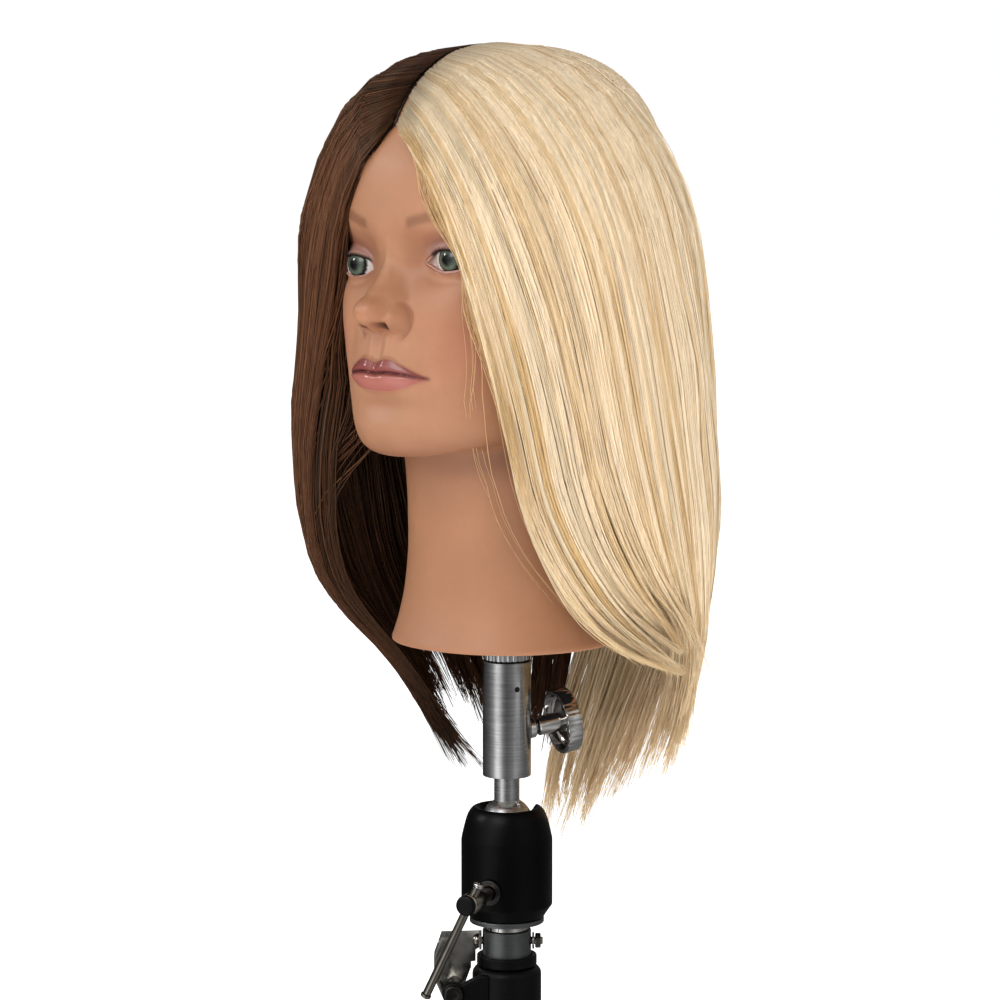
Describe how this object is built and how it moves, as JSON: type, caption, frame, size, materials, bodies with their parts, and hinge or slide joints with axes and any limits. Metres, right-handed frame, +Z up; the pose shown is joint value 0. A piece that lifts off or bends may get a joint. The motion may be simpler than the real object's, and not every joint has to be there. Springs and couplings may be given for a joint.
{
  "type": "mannequin training head",
  "caption": "Mannequin training head with two-tone rooted hair on a swivelling ball-head holder with a drop slot, clamp knob and T-bar lock.",
  "frame": {"origin": "column axis at the flat lower end of the column stub", "axes": "+Z up along the column; the face looks along -Y; the mannequin's left is +X"},
  "size_m": [0.1978, 0.2215, 0.5475],
  "materials": {
    "skin": "satin vinyl",
    "eye": "glossy",
    "hair_brown": "straight fibre with sheen",
    "hair_blonde": "straight fibre with sheen",
    "dark_plastic": "moulded",
    "nylon": "machined",
    "black_plastic": "fine moulded grain",
    "black_coat": "satin powder coat",
    "aluminium": "turned and brushed",
    "chrome": "bright plated",
    "satin_steel": "satin grey",
    "steel": "zinc plated",
    "dark_steel": "black oxide",
    "brass": "yellow passivated"
  },
  "bodies": {
    "column": {"column_head": "black_plastic", "neck_sleeve": "satin_steel", "column_collar": "black_plastic", "spindle": "chrome", "base_flange": "satin_steel", "pan_nut": "steel", "cross_bolt": "chrome", "cross_nut": "chrome", "cross_washer": "chrome", "stay_bracket": "steel", "pivot_bolt": "dark_steel", "pivot_spacer": "chrome", "pivot_nut": "steel"},
    "ball_head": {"ball_housing": "black_coat", "housing_base_plug": "aluminium", "pan_washer": "nylon", "ball_seat": "nylon", "wedge_plunger": "brass", "preload_spring": "steel"},
    "lock": {"lock_screw": "brass", "lock_washer": "brass", "lock_cap": "black_plastic"},
    "t_bar": {"tommy_bar": "chrome", "bar_collar": "chrome", "bar_cap": "chrome"},
    "stud": {"ball_stud": "aluminium", "stud_washer": "steel", "stud_screw": "dark_steel"},
    "holder": {"holder_tube": "aluminium", "swivel_bush": "nylon", "adapter_post": "dark_plastic", "knurled_collar": "aluminium", "set_screw_1": "dark_steel", "set_screw_2": "dark_steel", "set_screw_3": "dark_steel", "post_set_screw": "dark_steel", "knob_boss": "chrome"},
    "knob": {"clamp_knob": "chrome", "knob_screw": "steel"},
    "head": {"head_shell": "skin", "eye_left": "eye", "eye_right": "eye", "neck_socket": "dark_plastic", "hair_blonde": "hair_blonde", "hair_brown": "hair_brown", "hair_blonde_ends": "hair_blonde", "hair_brown_ends": "hair_brown"}
  },
  "joints": [
    {"name": "pan", "type": "hinge", "parent": "column", "child": "ball_head", "pos_m": [0, 0, 0.0897], "axis": [0, 0, 1], "continuous": true},
    {"name": "ball_tilt", "type": "hinge", "parent": "ball_head", "child": "stud", "pos_m": [0, 0, 0.1391], "axis": [-1, 0, 0], "range_deg": [-25, 90], "deforming": ["hair_blonde_ends", "hair_brown_ends"]},
    {"name": "holder_swivel", "type": "hinge", "parent": "stud", "child": "holder", "pos_m": [0, 0, 0.18], "axis": [0, 0, 1], "continuous": true},
    {"name": "head_lift", "type": "slide", "parent": "holder", "child": "head", "axis": [0, 0, 1], "range_m": [0, 0.075]},
    {"name": "knob_turn", "type": "hinge", "parent": "holder", "child": "knob", "pos_m": [0, 0, 0.1871], "axis": [0.4341, 0.89, 0.1392], "range_deg": [0, 360]},
    {"name": "lock_turn", "type": "hinge", "parent": "ball_head", "child": "lock", "pos_m": [0, 0, 0.1067], "axis": [0.342, -0.9397, 0], "range_deg": [0, 180]},
    {"name": "bar_slide", "type": "slide", "parent": "lock", "child": "t_bar", "axis": [0.4119, 0.1499, 0.8988], "range_m": [0, 0.042]}
  ]
}
